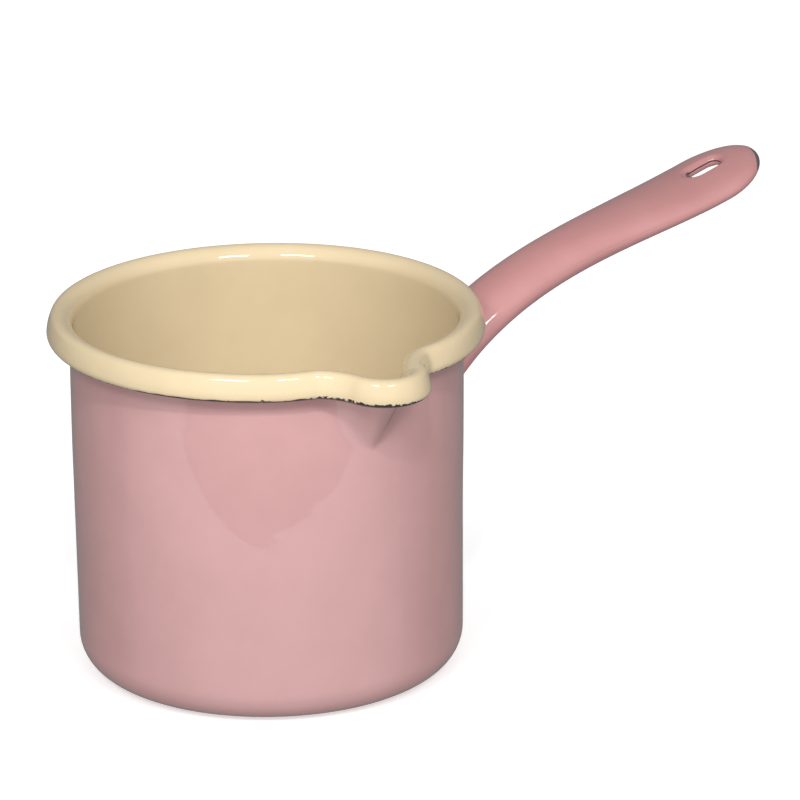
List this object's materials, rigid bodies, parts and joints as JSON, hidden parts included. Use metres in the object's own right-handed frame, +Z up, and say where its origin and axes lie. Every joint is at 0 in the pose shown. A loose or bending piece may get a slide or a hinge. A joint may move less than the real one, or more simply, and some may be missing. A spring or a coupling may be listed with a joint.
{
  "type": "enamelled pouring pot",
  "caption": "Round enamelled steel pot with straight walls, rolled rim, pressed pouring spout and a hollow rising side handle with a hanging hole, for melting wax.",
  "frame": {"origin": "centre of the flat base, on the pot's axis", "axes": "+Z up along the pot's axis, +X along the handle, the spout points along -Y"},
  "size_m": [0.2536, 0.1508, 0.1372],
  "materials": {
    "bare_steel": "bare pressed steel under the enamel",
    "weld_steel": "ground weld",
    "cream_enamel": "glossy cream vitreous enamel",
    "pink_enamel": "glossy dusty pink vitreous enamel",
    "ground_coat": "dark ground coat, bare at the rim's lower corner"
  },
  "bodies": {
    "root": {"pot_shell": "bare_steel", "interior_enamel": "cream_enamel", "exterior_enamel": "pink_enamel", "rim_ground_coat": "ground_coat", "handle_upper_shell": "bare_steel", "handle_lower_shell": "bare_steel", "handle_seam_weld": "weld_steel", "handle_root_weld": "weld_steel", "handle_enamel": "pink_enamel"}
  },
  "joints": []
}
